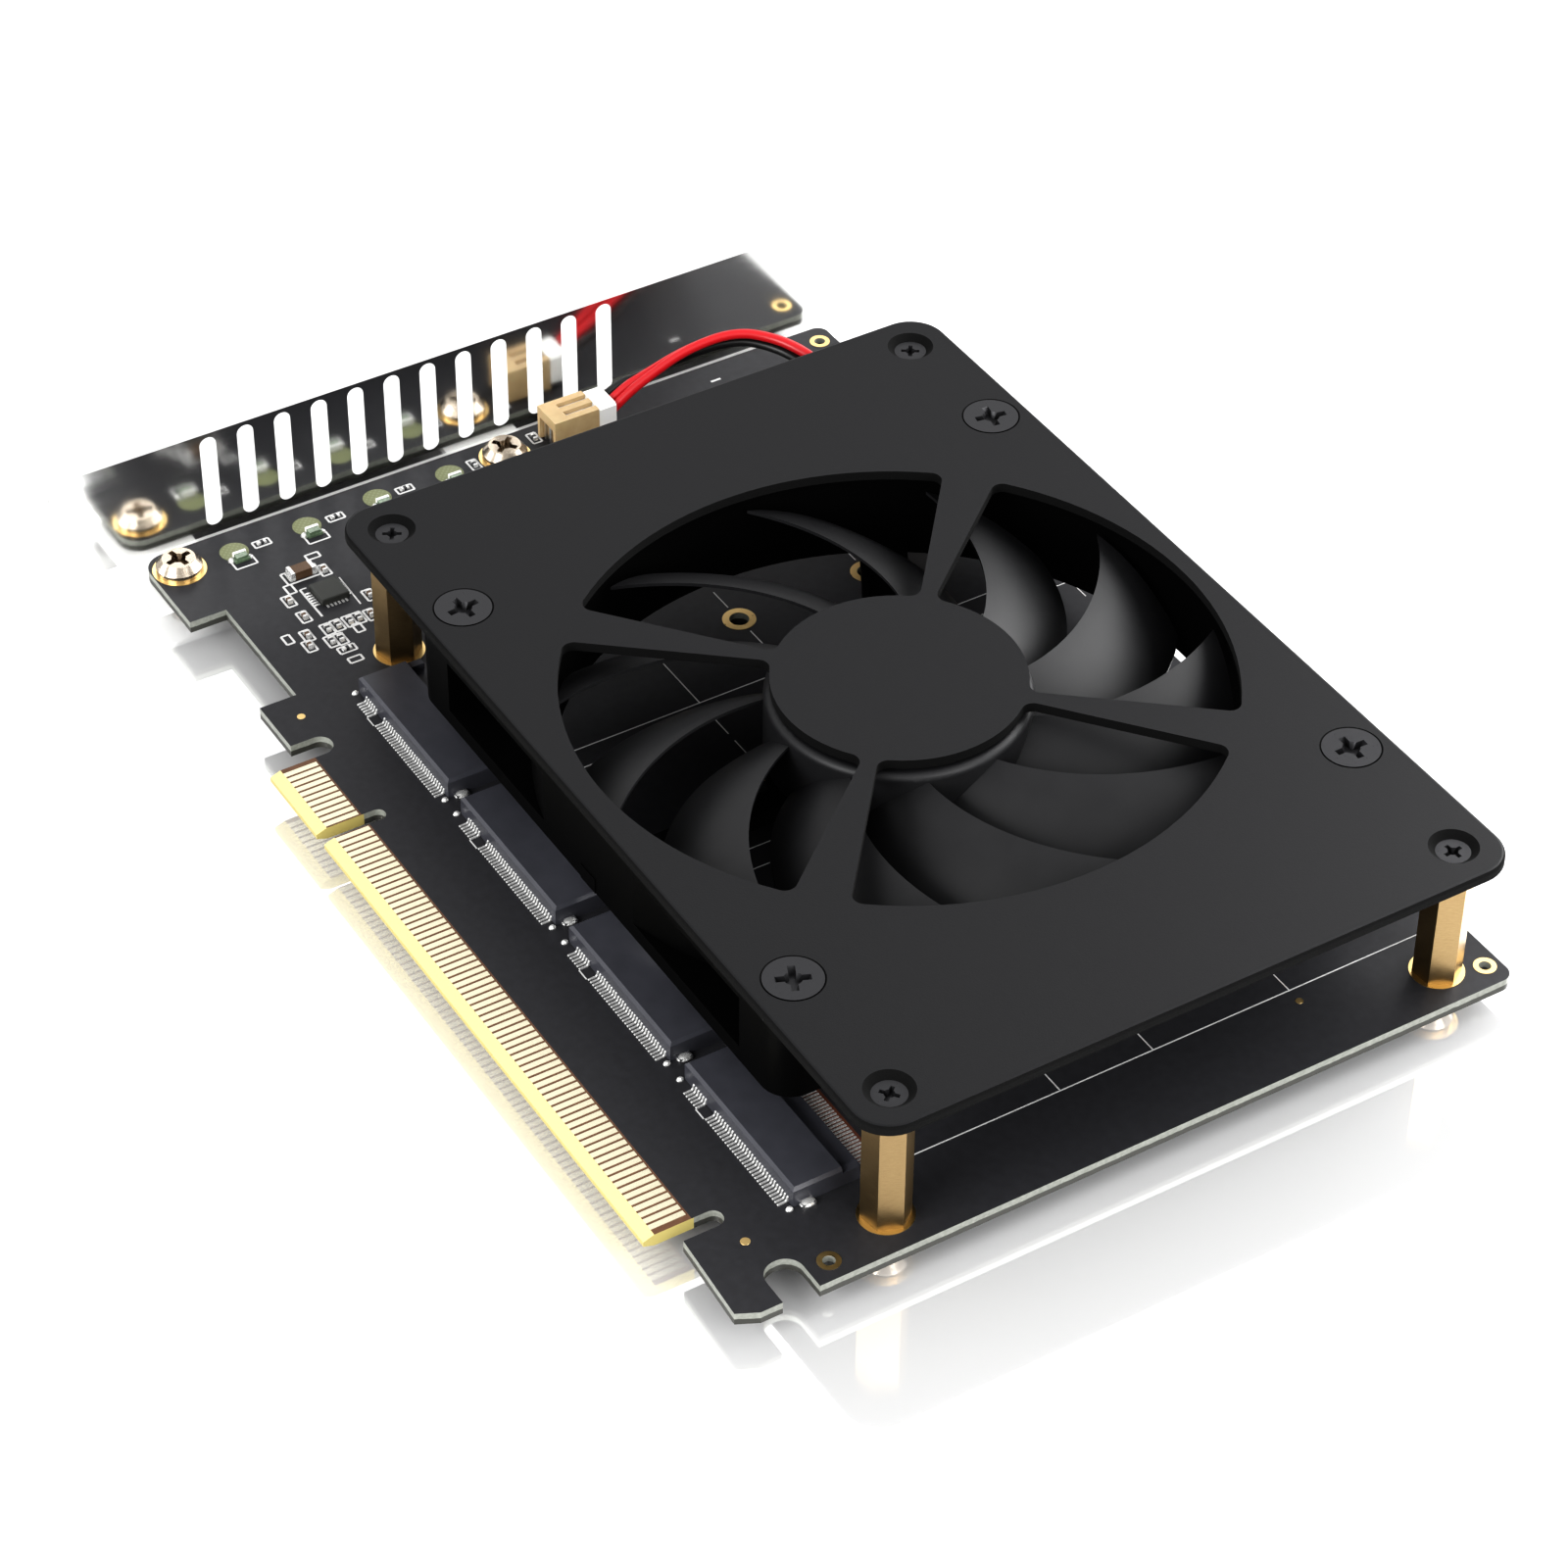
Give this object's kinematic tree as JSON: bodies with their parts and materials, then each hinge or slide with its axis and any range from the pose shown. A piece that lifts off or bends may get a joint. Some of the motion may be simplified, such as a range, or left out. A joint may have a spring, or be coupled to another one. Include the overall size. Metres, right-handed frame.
{
  "type": "drive adapter card",
  "caption": "Expansion card for slot-mounted drives: edge contacts, vented bracket, drive sockets and a raised cover plate with an axial fan on brass standoffs.",
  "frame": {"origin": "middle of the bounding box in X and Y, at the lowest level, which is the bracket's lower edge", "axes": "+X away from the bracket along the card, +Y from the edge contacts to the board's upper edge, +Z out of the component side"},
  "size_m": [0.157, 0.12, 0.0225],
  "materials": {
    "board": "black solder mask over glass fibre",
    "gold": "gold plate",
    "steel": "bright plated sheet steel",
    "screw_nickel": "nickel plate",
    "socket": "black moulded resin",
    "tin": "tin plate",
    "brass": "turned and milled brass",
    "cover": "matt black paint",
    "screw_black": "black oxide",
    "fan_plastic": "black moulded resin",
    "rotor_plastic": "dark grey moulded resin",
    "dark_steel": "bare steel",
    "magnet": "bonded ferrite",
    "bronze": "sintered bronze",
    "copper": "enamelled copper wire",
    "green_board": "small circuit board",
    "cream": "cream moulded resin",
    "white_plastic": "white moulded resin",
    "black_lead": "black wire insulation",
    "red_lead": "red wire insulation",
    "chip_black": "moulded package",
    "capacitor": "ceramic body",
    "resistor": "coated ceramic",
    "lamp": "tinted clear resin"
  },
  "bodies": {
    "card": {"circuit_board": "board", "edge_contacts": "gold", "plated_lands": "gold", "io_bracket": "steel", "bracket_screws": "screw_nickel", "drive_socket_1": "socket", "drive_socket_2": "socket", "drive_socket_3": "socket", "drive_socket_4": "socket", "socket_clips": "tin", "standoffs": "brass", "standoff_screws": "screw_nickel", "cover_plate": "cover", "plate_screws": "screw_black", "fan_screws": "screw_black", "fan_frame": "fan_plastic", "bearing_sleeve": "bronze", "stator_core": "dark_steel", "stator_coils": "copper", "fan_circuit": "green_board", "fan_header": "cream", "header_pins": "tin", "wire_plug": "white_plastic", "lead_black": "black_lead", "lead_red_left": "red_lead", "lead_red_right": "red_lead", "controller_chip": "chip_black", "chip_capacitors": "capacitor", "chip_resistors": "resistor", "status_leds": "lamp"},
    "rotor": {"fan_rotor": "rotor_plastic", "rotor_yoke": "dark_steel", "rotor_magnet": "magnet", "fan_shaft": "dark_steel", "shaft_clip": "white_plastic"}
  },
  "joints": [
    {"name": "fan_spin", "type": "hinge", "parent": "card", "child": "rotor", "pos_m": [0.01871, 0.01431, 0.01655], "axis": [0, 0, 1], "continuous": true}
  ]
}
